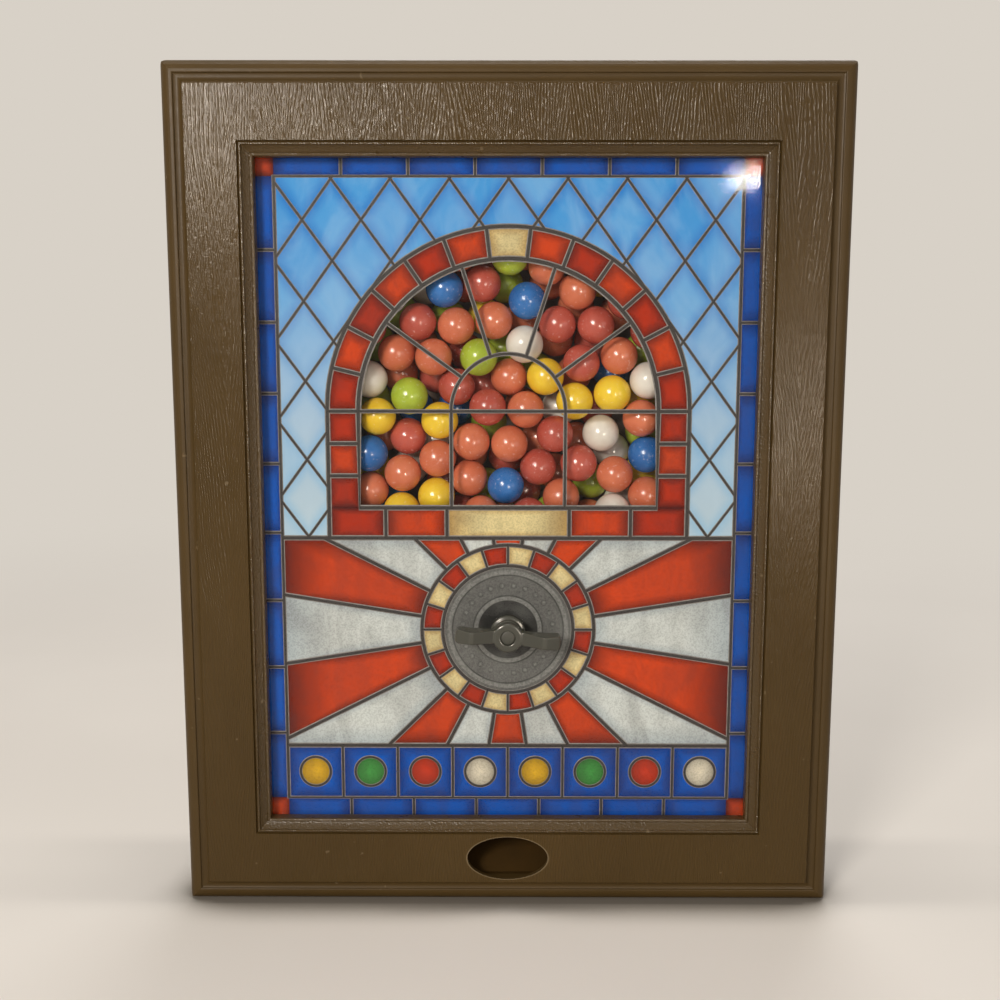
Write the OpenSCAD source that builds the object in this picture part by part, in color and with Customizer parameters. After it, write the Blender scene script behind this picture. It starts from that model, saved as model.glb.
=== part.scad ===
// Wall-hung gumball dispenser built into a picture frame.
// Millimetres. +Z is up, the front faces -Y and the wall is the plane Y = 0.
// The origin lies on the wall plane, midway between the two keyholes.

/* [Frame] */
// Overall width of the front frame
frame_w = 280; // [270:1:320]
// Overall height of the front frame
frame_h = 356; // [346:1:400]
// Width of a side rail, from its outer edge to the picture
side_rail_w = 36.9; // [35:0.1:40]
// Width of the top and bottom rails
end_rail_w = 38.1; // [37.5:0.1:42]
// Wall thickness of the frame moulding
frame_wall = 2.5; // [2:0.1:3]
// Depth of the side walls, from the flat face to their rear edge
skirt_d = 22; // [20:0.5:26]
// Radius of the outer corners
corner_r = 3.5; // [1:0.5:4]
// Height of the flat face above the front of the clear panel
field_rise = 7; // [6:0.25:8]
// Width of the moulding along the outer edge
outer_mould_w = 10.2; // [9.6:0.1:10.6]
// Drop from the flat face to where the rounded outer edge meets the side wall
edge_drop = 7.7; // [7:0.1:9]
// Radius of the ridge on the outer moulding
ridge_r = 0.6; // [0.4:0.05:0.8]
// Width of the stepped moulding beside the picture
inner_mould_w = 6; // [5.6:0.1:7]
// Drop from the flat face to the foot of that moulding's cove
inner_drop = 3; // [2.5:0.1:3.5]
// Radius of the bead beside the picture
bead_r = 0.75; // [0.5:0.05:1]
// Overlap of the frame's lip on the panel
lip_overlap = 4; // [3:0.25:4.5]

/* [Delivery opening] */
// Width of the oval opening in the bottom rail
hole_w = 35; // [30:0.5:40]
// Height of the oval opening
hole_h = 19.25; // [17:0.25:19.5]
// Wall thickness of the delivery tray
tray_wall = 2; // [1.5:0.1:2.5]
// Slope of the ramp in the tray, in degrees
ramp_angle = 33; // [28:1:36]

/* [Panel and picture] */
// Thickness of the clear panel
panel_t = 2; // [1.5:0.25:3]
// Thickness of the printed film
film_t = 0.6; // [0.4:0.1:1]
// Thickness of the chassis plate behind the film
chassis_t = 2.5; // [2:0.25:4]
// Width of the arched window
window_w = 126; // [100:1:140]
// Height of the window's foot above the middle of the frame
window_foot = -4; // [-6:1:10]
// Height of the straight sides of the window
window_side_h = 41; // [30:1:50]

/* [Hopper] */
// Inside depth of the hopper
hopper_depth = 33; // [32:0.5:40]
// Wall thickness of the hopper, wheel housing and chute
hopper_wall = 1.6; // [1.2:0.1:2.4]
// Distance from the window's side to the hopper's inside wall
hopper_margin = 5; // [3:0.5:10]
// Height of the empty head space above the window
head_space = 38; // [36:1:39]

/* [Gumballs] */
// Diameter of a gumball
ball_d = 15.9; // [14.5:0.1:16]
// Least gap between a gumball and what is next to it
ball_gap = 0.3; // [0.2:0.05:0.5]

/* [Dispenser] */
// Drop of the handle's axis below the middle of the frame
axis_drop = 57; // [54:0.5:60]
// Number of pockets in the wheel
pocket_count = 4; // [3:1:4]
// Radius of the circle that the pockets are centred on
pocket_pitch_r = 15.5; // [15:0.25:18]
// Height of the wheel's rim beyond the pockets' centres
wheel_rim = 5; // [4:0.25:7]
// Thickness of the wheel
wheel_t = 18; // [17:0.5:20]
// Gap between the wheel and its housing
wheel_gap = 0.6; // [0.3:0.1:1]
// Radius of the drive shaft
shaft_r = 3; // [2.5:0.1:4]
// Running clearance between the shaft and its bearings
run_gap = 0.05; // [0.02:0.01:0.1]

/* [Handle] */
// Span of the handle from tip to tip
handle_span = 44; // [38:0.5:56]
// Reach of the handle in front of the panel
handle_reach = 18; // [17:0.5:24]
// Radius of the hub at its base
hub_base_r = 7.6; // [7.2:0.1:10]
// Radius of the hub at its front
hub_front_r = 6.2; // [5.8:0.1:7]
// Height of a wing beside the hub
wing_h = 5.8; // [5:0.1:9]
// Depth of a wing at its bend
wing_d = 9.5; // [8:0.5:11]
// How far a wing's bend stands in front of the hub
wing_sweep = 5; // [3:0.5:6]
// Angle that a wing's tip is bent back by
wing_bend = 24; // [15:1:38]
// Angle that the handle is left at, clockwise from level
handle_angle = 4; // [0:1:20]

/* [Rear housing] */
// Distance from the frame's edge to the box behind it
housing_inset = 10; // [9.5:0.5:11]
// Wall thickness of the rear housing
housing_wall = 2.5; // [2:0.1:3.5]
// Corner radius of the rear housing
housing_r = 6; // [4:0.5:10]
// Gap behind the hopper, for the door's hinge
hinge_room = 4; // [3.6:0.1:6]
// Height of the keyholes above the middle of the frame
hang_z = 110; // [90:1:130]
// Distance between the two keyholes
keyhole_spacing = 200; // [190:1:220]
// Radius of a keyhole's round entry
keyhole_r = 4.5; // [4:0.1:5.5]
// Half width of a keyhole's slot
slot_r = 2.2; // [1.8:0.1:2.6]
// Travel of the screw in the slot
slot_travel = 11; // [9:0.5:15]

/* [Fill door] */
// Width of the fill door
door_w = 92; // [70:1:110]
// Radius of the door's hinge barrel
barrel_r = 2.5; // [2.2:0.1:3]
// Radius of the hinge pin
pin_r = 1; // [0.8:0.05:1.25]
// Gap round the door
door_gap = 0.4; // [0.2:0.05:0.8]

/* [Screws] */
// Radius of a screw's shank
screw_r = 1.5; // [1.25:0.05:1.75]
// Radius of a screw's head
head_r = 2.8; // [2.4:0.1:3]
// Thickness of a screw's head
head_t = 2; // [1.5:0.1:2.5]

/* [Hidden] */
$fn = 64;
// Clearance of flat and fixed fits
fit_gap = 0.15;

// Depths, from the wall forward
y_back = -housing_wall;
y_hopper_out = y_back - hinge_room;
y_hopper_in = y_hopper_out - hopper_wall;
y_chassis = y_hopper_in - hopper_depth;
y_film = y_chassis - chassis_t;
y_panel_rear = y_film - film_t;
y_panel = y_panel_rear - panel_t;
y_field = y_panel - field_rise;
y_face_rear = y_field + frame_wall;
y_skirt = y_field + skirt_d;
flange_t = 2;
y_flange = y_skirt - flange_t;

// Opening and panel
open_w = frame_w - 2 * side_rail_w;
open_h = frame_h - 2 * end_rail_w;
panel_w = open_w + 2 * lip_overlap;
panel_h = open_h + 2 * lip_overlap;
rabbet_gap = 0.4;
rib_t = 2.4;
rib_out = lip_overlap + rabbet_gap + rib_t;

// Outer moulding, from the edge inwards: a rounded edge, a ridge, a cove and a step up to the flat face
face_step = 0.7;
face_round = 0.4;
cove_start = 246;
cove_end_u = outer_mould_w - face_round;
ridge_u = outer_mould_w / 2;
cove_r = (cove_end_u - ridge_u - ridge_r) / (1 - cos(cove_start));
cove_drop = face_step + cove_r;
ridge_drop = face_step - cove_r * sin(cove_start) - ridge_r;
mould_wall_u = outer_mould_w + 1;
y_mould_rear = y_field + cove_drop + frame_wall;

// The flat face is shared by an outer and an inner ring of rails, which overlap in it
side_field = side_rail_w - outer_mould_w - inner_mould_w;
end_field = end_rail_w - outer_mould_w - inner_mould_w;
field_lap = max(side_field, end_field) / 2 + 1;
inner_ring_w = field_lap + inner_mould_w;

// Chassis plate and the bosses that it is screwed to
boss_r = 3.2;
boss_in = rib_out + boss_r + 0.6;
chassis_w = open_w + 2 * (boss_in + boss_r + 1);
chassis_h = open_h + 2 * (boss_in + boss_r + 1);
chassis_screw_x = open_w / 2 + boss_in;
chassis_screw_z = open_h / 2 + boss_in;
chassis_screw_spots = concat(
    [for (sx = [-1, 1], sz = [-1, 1]) [sx * chassis_screw_x, sz * frame_h * 0.22]],
    [for (sx = [-1, 1], sz = [-1, 1]) [sx * frame_w * 0.22, sz * chassis_screw_z]]);

// Rear housing's flange and its screws
flange_u = frame_wall + 0.3;
flange_screw_u = flange_u + head_r + 0.7;
flange_screw_x = frame_w / 2 - flange_screw_u;
flange_screw_z = frame_h / 2 - flange_screw_u;
flange_screw_spots = concat(
    [for (sx = [-1, 1], sz = [-1, 1]) [sx * flange_screw_x, sz * frame_h * 0.31]],
    [for (sx = [-1, 1], sz = [-1, 1]) [sx * frame_w * 0.28, sz * flange_screw_z]]);
flange_boss_r = 2.9;
box_w = frame_w - 2 * housing_inset;
box_h = frame_h - 2 * housing_inset;

// Window
window_r = window_w / 2;
window_spring = window_foot + window_side_h;
window_top = window_spring + window_r;

// Dispensing wheel, its housing and the chute
wheel_r = pocket_pitch_r + wheel_rim;
pocket_r = ball_d / 2 + 0.6;
drum_r = wheel_r + wheel_gap;
drum_out_r = drum_r + hopper_wall;
passage_w = ball_d + 3.6;
y_drum = y_chassis + wheel_t + 2 * wheel_gap;
y_drum_out = y_drum + 2;
z_axis = -axis_drop;
z_inlet = z_axis + drum_out_r;
z_outlet = z_axis - drum_out_r;
passage_d = y_drum - y_chassis;
y_wheel = y_chassis + wheel_gap;

// Hopper
hopper_w = window_w + 2 * hopper_margin;
z_hopper_top = window_top + head_space;
z_floor = window_foot - 1;
fill_top = z_hopper_top - 2;
fill_foot = window_top + 12;
fill_w = door_w - 6;
collar_t = 1.6;

// Fill door, hinged on a pin along its lower edge
z_hinge = window_top + 6.5;
y_hinge = -barrel_r;
door_top = z_hopper_top + 1;
ear_in = door_w / 2 - 4;
ear_out = door_w / 2 + 4;
notch_r = 7;
chamfer = 2.8;

// Posts behind the chassis that carry the hopper, the wheel housing and the chute
post_r = 3.4;
post_h = 8;
lug_t = 2.5;
hopper_lug_x = hopper_w / 2 + hopper_wall + post_r + 0.4;
hopper_lug_spots = [for (sx = [-1, 1], z = [window_foot + 14, window_top - 4]) [sx * hopper_lug_x, z]];
drum_lug_x = drum_out_r + post_r + 0.4;
drum_lug_spots = [for (sx = [-1, 1]) [sx * drum_lug_x, z_axis]];
chute_lug_x = passage_w / 2 + hopper_wall + post_r + 0.4;
z_tray_top = -open_h / 2 - rib_out - 0.2;
z_chute_lug = (z_outlet + z_tray_top) / 2;
chute_lug_spots = [for (sx = [-1, 1]) [sx * chute_lug_x, z_chute_lug]];
mechanism_spots = concat(hopper_lug_spots, drum_lug_spots, chute_lug_spots);

// Delivery opening and tray
z_hole = -frame_h / 2 + outer_mould_w + end_field / 2;
tray_in_w = hole_w + 5;
z_tray_floor = z_hole - hole_h / 2 - 0.4;
z_mould_wall = -frame_h / 2 + mould_wall_u + fit_gap;
tray_step_d = 6;
y_ramp = y_face_rear + tray_step_d;
y_tray_rear = y_chassis + hopper_wall + passage_d;
z_ramp_top = z_tray_floor + (y_tray_rear - y_ramp) * tan(ramp_angle);
tray_boss_h = 6;
tray_lug_x = tray_in_w / 2 + tray_wall + boss_r + 0.3;
tray_spots = [for (sx = [-1, 1]) [sx * tray_lug_x, z_hole]];
tray_clear = tray_lug_x + boss_r + 1;

// Handle and shaft
y_bush_front = y_panel - 1.2;
bush_r = 5;
bush_flange_r = 6.5;
y_handle_base = y_bush_front - 0.3;
y_handle_front = y_panel - handle_reach;
y_hub_front = y_handle_front + wing_sweep;
cap_r = 3;
cap_depth = 3.2;
cap_rim_h = 2.3;
cap_rise = 0.4;
y_shaft_front = y_hub_front + cap_depth + head_t + 1;
shaft_tail = 7;
y_shaft_rear = y_drum_out + shaft_tail;
shaft_flat = shaft_r - 0.7;
clip_t = 1;
washer_t = 0.8;
y_clip = y_drum_out + 3.4 + washer_t;
clip_groove_r = shaft_r - 0.8;
handle_screw_r = 1.2;
handle_screw_l = 9;

// Points of an arc round a centre, from one angle to another
function arc(cx, cy, r, from, to, steps = 6) =
    [for (i = [0 : steps]) let (a = from + (to - from) * i / steps) [cx + r * cos(a), cy + r * sin(a)]];

// An outline in X and Z, made into a slab between two depths
module slab(y0, y1) translate([0, y1, 0]) rotate([90, 0, 0]) linear_extrude(y1 - y0) children();

// A rod along Y
module rod(x, z, r, y0, y1) translate([x, y1, z]) rotate([90, 0, 0]) cylinder(r = r, h = y1 - y0);

// A box between two corners
module block(x0, x1, y0, y1, z0, z1) translate([x0, y0, z0]) cube([x1 - x0, y1 - y0, z1 - z0]);

// A rectangle with round corners
module round_rect(w, h, r) {
    square([w - 2 * r, h], center = true);
    square([w, h - 2 * r], center = true);
    for (sx = [-1, 1], sz = [-1, 1])
        translate([sx * (w / 2 - r), sz * (h / 2 - r)]) circle(r);
}

// The arched window's outline
module window_outline() {
    translate([-window_r, window_foot]) square([window_w, window_side_h]);
    translate([0, window_spring]) circle(window_r);
}

// Section of the outer ring: first the distance from the frame's edge, then the height above the panel
function outer_section() =
    let (
        face = field_rise,
        low = y_panel - y_skirt,
        edge_w = ridge_u,
        edge_h = edge_drop - ridge_drop,
        rear = face - cove_drop - frame_wall
    )
    concat(
        [[0, low]],
        [for (p = arc(0, 0, 1, 180, 90, 8)) [edge_w + edge_w * p[0], face - edge_drop + edge_h * p[1]]],
        arc(ridge_u, face - ridge_drop - ridge_r, ridge_r, 75, 0, 5),
        arc(cove_end_u - cove_r, face - face_step, cove_r, cove_start + 12, 360, 9),
        arc(outer_mould_w, face - face_round, face_round, 180, 90, 4),
        [[outer_mould_w + field_lap, face], [outer_mould_w + field_lap, face - frame_wall]],
        [[mould_wall_u, face - frame_wall], [mould_wall_u, rear], [ridge_u, rear]],
        [[frame_wall, face - edge_drop], [frame_wall, low]]);

// Section of the inner ring: first the distance from its own outer edge, then the height above the panel
function inner_section() =
    let (
        face = field_rise,
        groove_u = field_lap,
        groove_d = 0.9,
        ledge_r = 0.6,
        cove_u = groove_u + 2,
        bead_u = inner_ring_w - 2 * bead_r,
        foot = face - inner_drop,
        cove_d = inner_drop - groove_d,
        rabbet_u = inner_ring_w - lip_overlap - rabbet_gap
    )
    concat(
        [[0, face - frame_wall], [0, face], [groove_u, face], [groove_u + 0.4, face - groove_d]],
        arc(groove_u + 1.25, face - ledge_r, ledge_r, 180, 0, 5),
        [for (t = [0 : 0.25 : 0.75])
            [cove_u + (bead_u - cove_u) * t, face - groove_d - cove_d * t * (1.35 - 0.35 * t)]],
        arc(inner_ring_w - bead_r, foot, bead_r, 180, 0),
        [[inner_ring_w, 0], [rabbet_u, 0], [rabbet_u, -panel_t - film_t]],
        [[rabbet_u - rib_t, -panel_t - film_t], [rabbet_u - rib_t, face - frame_wall]]);

// A section swept round a rectangle, with mitred corners
module ring(section, w, h) {
    n = len(section);
    polyhedron(
        points = [for (c = [[1, 1], [-1, 1], [-1, -1], [1, -1]], p = section)
            [c[0] * (w / 2 - p[0]), y_panel - p[1], c[1] * (h / 2 - p[0])]],
        faces = [for (k = [0 : 3], i = [0 : n - 1])
            [k * n + i, k * n + (i + 1) % n, (k + 1) % 4 * n + (i + 1) % n, (k + 1) % 4 * n + i]]);
}

module front_frame() color([0.30, 0.23, 0.15]) difference() {
    union() {
        intersection() {
            ring(outer_section(), frame_w, frame_h);
            slab(y_field - 1, y_skirt) round_rect(frame_w, frame_h, corner_r);
        }
        ring(inner_section(), open_w + 2 * inner_ring_w, open_h + 2 * inner_ring_w);
        for (p = chassis_screw_spots) rod(p[0], p[1], boss_r, y_face_rear - 0.5, y_film);
        for (p = flange_screw_spots) rod(p[0], p[1], flange_boss_r, y_mould_rear - 0.5, y_flange);
        for (p = tray_spots) rod(p[0], p[1], boss_r, y_face_rear - 0.5, y_face_rear + tray_boss_h);
    }
    for (p = chassis_screw_spots) rod(p[0], p[1], screw_r + run_gap, y_face_rear + 0.6, y_film + 1);
    for (p = flange_screw_spots) rod(p[0], p[1], screw_r + run_gap, y_mould_rear + 1.2, y_flange + 1);
    for (p = tray_spots)
        rod(p[0], p[1], screw_r + run_gap, y_face_rear + 0.6, y_face_rear + tray_boss_h + 1);
    slab(y_field - 1, y_mould_rear + 1) translate([0, z_hole])
        polygon([for (a = [0 : 6 : 354]) [hole_w / 2 * cos(a), hole_h / 2 * sin(a)]]);
}

module clear_panel() color([0.85, 0.9, 0.95, 0.3]) difference() {
    slab(y_panel, y_panel_rear) square([panel_w, panel_h], center = true);
    rod(0, z_axis, bush_r + fit_gap, y_panel - 1, y_panel_rear + 1);
}

module picture_film() color([0.25, 0.55, 0.85]) difference() {
    slab(y_panel_rear, y_film) square([panel_w, panel_h], center = true);
    slab(y_panel_rear - 1, y_film + 1) window_outline();
    rod(0, z_axis, bush_r + fit_gap, y_panel_rear - 1, y_film + 1);
}

module chassis_plate() color([0.75, 0.74, 0.7]) difference() {
    union() {
        slab(y_film, y_chassis) round_rect(chassis_w, chassis_h, 4);
        for (p = mechanism_spots) rod(p[0], p[1], post_r, y_chassis - 0.5, y_chassis + post_h);
    }
    slab(y_film - 1, y_chassis + 1) window_outline();
    rod(0, z_axis, bush_r + run_gap, y_film - 1, y_chassis + 1);
    for (p = mechanism_spots) rod(p[0], p[1], screw_r + run_gap, y_chassis, y_chassis + post_h + 1);
    for (p = chassis_screw_spots) rod(p[0], p[1], screw_r + fit_gap, y_film - 1, y_chassis + 1);
    block(-tray_clear, tray_clear, y_film - 1, y_chassis + 1, -chassis_h, z_tray_top + 1);
}

// A pan-head screw along Y: its head stands behind the seat and its shank runs forward
module screw(p, y_seat, len) {
    rod(p[0], p[1], screw_r, y_seat - len, y_seat);
    difference() {
        union() {
            rod(p[0], p[1], head_r, y_seat, y_seat + head_t * 0.6);
            rod(p[0], p[1], head_r * 0.8, y_seat, y_seat + head_t);
        }
        for (turn = [0, 90]) translate([p[0], 0, p[1]]) rotate([0, turn, 0])
            block(-head_r * 0.55, head_r * 0.55, y_seat + head_t * 0.4, y_seat + head_t + 1, -0.35, 0.35);
    }
}

module chassis_screws() color("silver") for (p = chassis_screw_spots) screw(p, y_chassis, chassis_t + 4.5);

module mechanism_screws() color("silver") for (p = mechanism_spots)
    screw(p, y_chassis + post_h + lug_t, lug_t + post_h - 1);

module tray_screws() color("silver") for (p = tray_spots)
    screw(p, y_face_rear + tray_boss_h + lug_t, lug_t + tray_boss_h - 1);

module housing_screws() color("silver") for (p = flange_screw_spots) screw(p, y_skirt, flange_t + 10);

// A lug with a screw hole, joined to the wall at reach_x
module lug(p, reach_x) difference() {
    union() {
        rod(p[0], p[1], post_r, y_chassis + post_h, y_chassis + post_h + lug_t);
        block(min(p[0], reach_x), max(p[0], reach_x), y_chassis + post_h, y_chassis + post_h + lug_t,
            p[1] - post_r, p[1] + post_r);
    }
    rod(p[0], p[1], screw_r + fit_gap, y_chassis, y_chassis + post_h + lug_t + 1);
}

// The hopper's outline in X and Z, grown by a wall
function hopper_outline(wall) =
    let (
        half = hopper_w / 2 + wall,
        out = passage_w / 2,
        slope = atan2(z_floor - z_inlet, hopper_w / 2 - out),
        drop = wall / cos(slope),
        foot = z_floor + wall * tan(slope) - drop
    )
    [[-half, z_hopper_top + wall], [half, z_hopper_top + wall], [half, foot],
     [out + wall, foot - (half - out - wall) * tan(slope)], [out + wall, z_inlet],
     [-out - wall, z_inlet], [-out - wall, foot - (half - out - wall) * tan(slope)], [-half, foot]];

// The hopper's section in Y and Z, grown backwards by a wall
function hopper_section(wall) =
    [[y_chassis, z_hopper_top + wall], [y_hopper_in + wall, z_hopper_top + wall],
     [y_hopper_in + wall, z_floor], [y_drum + wall, z_inlet], [y_chassis, z_inlet]];

// The space that an outline and a section share
module hopper_body(wall) intersection() {
    slab(y_chassis, 0) polygon(hopper_outline(wall));
    translate([-hopper_w, 0, 0]) rotate([90, 0, 90]) linear_extrude(2 * hopper_w)
        polygon(hopper_section(wall));
}

module hopper() color([0.22, 0.17, 0.12]) difference() {
    union() {
        hopper_body(hopper_wall);
        for (p = hopper_lug_spots) lug(p, sign(p[0]) * (hopper_w / 2 + hopper_wall / 2));
        block(-fill_w / 2 - collar_t, fill_w / 2 + collar_t, y_hopper_in, y_back - 0.3,
            fill_foot - collar_t, fill_top + collar_t);
    }
    hopper_body(0);
    block(-fill_w / 2, fill_w / 2, y_hopper_in - 1, y_back + 1, fill_foot, fill_top);
}

// The wheel housing's solid, grown by a wall round its passages
module drum_space(wall, y1) {
    rod(0, z_axis, drum_r + wall, y_chassis, y1);
    block(-passage_w / 2 - wall, passage_w / 2 + wall, y_chassis, y1, z_outlet, z_inlet);
}

module wheel_housing() color([0.86, 0.85, 0.8]) difference() {
    union() {
        drum_space(hopper_wall, y_drum_out);
        rod(0, z_axis, shaft_r + 3, y_drum, y_drum_out + 3);
        for (p = drum_lug_spots) lug(p, sign(p[0]) * (drum_r + hopper_wall / 2));
    }
    difference() {
        drum_space(0, y_drum);
        block(-drum_r, drum_r, y_drum - 0.01, y_drum + 1, z_outlet, z_inlet);
    }
    rod(0, z_axis, shaft_r + run_gap, y_drum - 1, y_drum_out + 4);
}

module chute() color([0.86, 0.85, 0.8]) difference() {
    union() {
        block(-passage_w / 2 - hopper_wall, passage_w / 2 + hopper_wall,
            y_chassis, y_tray_rear + hopper_wall, z_tray_top, z_outlet - 0.2);
        for (p = chute_lug_spots) lug(p, sign(p[0]) * (passage_w / 2 + hopper_wall / 2));
    }
    block(-passage_w / 2, passage_w / 2, y_chassis + hopper_wall, y_tray_rear,
        z_tray_top - 1, z_outlet + 1);
}

// The tray's side outline in Y and Z: a level step behind the opening, then a ramp up to the rear.
// The frame's rib lies over its open top, and its floor starts behind the frame's outer moulding.
function tray_section(wall) =
    [[y_face_rear, z_tray_top], [y_face_rear, z_mould_wall], [y_mould_rear + fit_gap, z_mould_wall],
     [y_mould_rear + fit_gap, z_tray_floor - wall], [y_ramp, z_tray_floor - wall],
     [y_tray_rear + wall, z_ramp_top - wall + wall * tan(ramp_angle)], [y_tray_rear + wall, z_tray_top]];

module tray_prism(half, wall) translate([-half, 0, 0]) rotate([90, 0, 90]) linear_extrude(2 * half)
    polygon(tray_section(wall));

module delivery_tray() color([0.24, 0.18, 0.11]) difference() {
    union() {
        difference() {
            tray_prism(tray_in_w / 2 + tray_wall, tray_wall);
            tray_prism(tray_in_w / 2, 0);
        }
        for (p = tray_spots) {
            rod(p[0], p[1], boss_r, y_face_rear + tray_boss_h, y_face_rear + tray_boss_h + lug_t);
            inner_x = sign(p[0]) * (tray_in_w / 2 + tray_wall / 2);
            block(min(p[0], inner_x), max(p[0], inner_x), y_face_rear + tray_boss_h,
                y_face_rear + tray_boss_h + lug_t, p[1] - boss_r, p[1] + boss_r);
        }
    }
    for (p = tray_spots)
        rod(p[0], p[1], screw_r + fit_gap, y_face_rear, y_face_rear + tray_boss_h + lug_t + 1);
}

// The slope of the hopper's floor and of its rear ramp, as unit vectors along them
floor_rise = z_floor - z_inlet;
floor_w = (hopper_w - passage_w) / 2;
ramp_d = y_hopper_in - y_drum;
floor_run = [floor_w, floor_rise] / norm([floor_w, floor_rise]);
ramp_run = [ramp_d, floor_rise] / norm([ramp_d, floor_rise]);
ball_r = ball_d / 2;
ball_room = ball_r + ball_gap;
// Where the share of each colour ends, for all but the last
share_ends = [0.30, 0.58, 0.68, 0.77, 0.90];
z_lowest_ball = z_axis + wheel_r + ball_room;

// A ball's place, moved inside the hopper's walls, floor and ramp
function inside_walls(p) =
    let (
        most_x = hopper_w / 2 - ball_room,
        x = max(-most_x, min(most_x, p[0])),
        y = max(y_chassis + ball_room, min(y_hopper_in - ball_room, p[1])),
        above_floor = (p[2] - z_inlet) * floor_run[0] - (abs(x) - passage_w / 2) * floor_run[1],
        lift = max(0, ball_room - above_floor),
        z = p[2] + lift * floor_run[0],
        off_ramp = (z - z_inlet) * ramp_run[0] - (y - y_drum) * ramp_run[1],
        push = max(0, ball_room - off_ramp)
    )
    [x - sign(x) * lift * floor_run[1], y - push * ramp_run[1], max(z_lowest_ball, z + push * ramp_run[0])];

// The indices of the balls near each ball
function near(p) = [for (i = [0 : len(p) - 1])
    [for (j = [0 : len(p) - 1]) if (i != j && norm(p[i] - p[j]) < 1.6 * ball_d) j]];

// The push on one ball from those that crowd it
function crowd(a, p, list) =
    let (
        apart = ball_d + 1.5 * ball_gap,
        pushes = [for (j = list) let (d = a - p[j], n = norm(d)) if (n < apart) d / n * (apart - n) * 0.45]
    )
    len(pushes) == 0 ? [0, 0, 0] : [for (k = pushes) 1] * pushes;

// Balls settled by small steps downwards
function settle(p, list, steps, sink) = steps == 0 ? p :
    settle([for (i = [0 : len(p) - 1]) inside_walls(p[i] + crowd(p[i], p, list[i]) - [0, 0, sink])],
        list, steps - 1, sink);

function settled(p, rounds, steps, sink) = rounds == 0 ? p :
    settled(settle(p, near(p), steps, sink), rounds - 1, steps, sink);

// Two staggered layers of balls, shaken out of their rows
function scattered() =
    let (
        pitch = 1.088 * ball_d,
        rise = pitch * 0.88,
        columns = floor((hopper_w - 2 * ball_room) / pitch),
        rows = floor((window_top + 2.5 * ball_d - z_lowest_ball) / rise),
        spots = [for (row = [0 : rows - 1], layer = [0, 1], column = [0 : columns])
            let (
                x = (column - columns / 2) * pitch + ((row + layer) % 2 == 0 ? 0 : pitch / 2),
                y = layer == 0 ? y_chassis + ball_room : y_hopper_in - ball_room,
                z = z_lowest_ball + row * rise + layer * rise / 2,
                floor_z = z_inlet + ((abs(x) - passage_w / 2) * floor_run[1] + ball_r) / floor_run[0]
            )
            if (abs(x) < hopper_w / 2 - ball_r && z > floor_z) [x, y, z]],
        shake = rands(-1, 1, 3 * len(spots), 41),
        reach = ball_d * [0.25, 0.19, 0.19]
    )
    [for (i = [0 : len(spots) - 1])
        inside_walls(spots[i] + [for (k = [0 : 2]) reach[k] * shake[3 * i + k]])];

function pile() = settled(settled(scattered(), 4, 30, ball_d / 64), 12, 60, 0);

// Each ball's colour, counted from 0: the balls against a side wall take the colours in turn,
// and every other ball draws one by the colours' shares
function ball_colours(p) =
    let (
        draw = rands(0, 1, len(p), 7),
        touch_x = hopper_w / 2 - ball_room - 0.01 * ball_d,
        side = [for (q = p) abs(q[0]) > touch_x ? sign(q[0]) : 0]
    )
    [for (i = [0 : len(p) - 1]) side[i] == 0 ?
        len([for (end = share_ends) if (end <= draw[i]) end]) :
        len([for (j = [0 : i]) if (side[j] == side[i]) j]) % (len(share_ends) + 1)];

// The balls of one colour
module gumballs(colour) {
    places = pile();
    colours = ball_colours(places);
    for (i = [0 : len(places) - 1])
        if (colours[i] == colour) translate(places[i]) sphere(d = ball_d);
}

module gumballs_red() color([0.72, 0.26, 0.21]) gumballs(0);

module gumballs_coral() color([0.82, 0.40, 0.32]) gumballs(1);

module gumballs_yellow() color([0.92, 0.76, 0.18]) gumballs(2);

module gumballs_blue() color([0.20, 0.43, 0.69]) gumballs(3);

module gumballs_green() color([0.68, 0.74, 0.22]) gumballs(4);

module gumballs_white() color([0.88, 0.84, 0.78]) gumballs(5);

// A bore with one flat side
module flat_bore(r, flat, y0, y1) intersection() {
    rod(0, z_axis, r, y0, y1);
    block(-2 * r, 2 * r, y0, y1, z_axis - 2 * r, z_axis + flat);
}

module dispensing_wheel() color([0.9, 0.88, 0.8]) difference() {
    rod(0, z_axis, wheel_r, y_wheel, y_wheel + wheel_t);
    for (i = [0 : pocket_count - 1]) let (a = 90 + i * 360 / pocket_count)
        rod(pocket_pitch_r * cos(a), z_axis + pocket_pitch_r * sin(a), pocket_r,
            y_wheel - 1, y_wheel + wheel_t + 1);
    flat_bore(shaft_r + run_gap, shaft_flat + run_gap, y_wheel - 1, y_wheel + wheel_t + 1);
}

module drive_shaft() color([0.7, 0.7, 0.72]) difference() {
    rod(0, z_axis, shaft_r, y_shaft_front, y_shaft_rear);
    block(-shaft_r, shaft_r, y_shaft_front - 1, y_handle_base, z_axis + shaft_flat, z_axis + 2 * shaft_r);
    block(-shaft_r, shaft_r, y_wheel, y_shaft_rear + 1, z_axis + shaft_flat, z_axis + 2 * shaft_r);
    rod(0, z_axis, handle_screw_r + run_gap, y_shaft_front - 1, y_shaft_front + handle_screw_l);
    difference() {
        rod(0, z_axis, 2 * shaft_r, y_clip, y_clip + clip_t);
        rod(0, z_axis, clip_groove_r, y_clip - 1, y_clip + clip_t + 1);
    }
}

module front_bush() color([0.88, 0.87, 0.82]) difference() {
    union() {
        rod(0, z_axis, bush_flange_r, y_bush_front, y_panel);
        rod(0, z_axis, bush_r, y_bush_front, y_chassis);
    }
    rod(0, z_axis, shaft_r + run_gap, y_bush_front - 1, y_chassis + 1);
}

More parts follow.
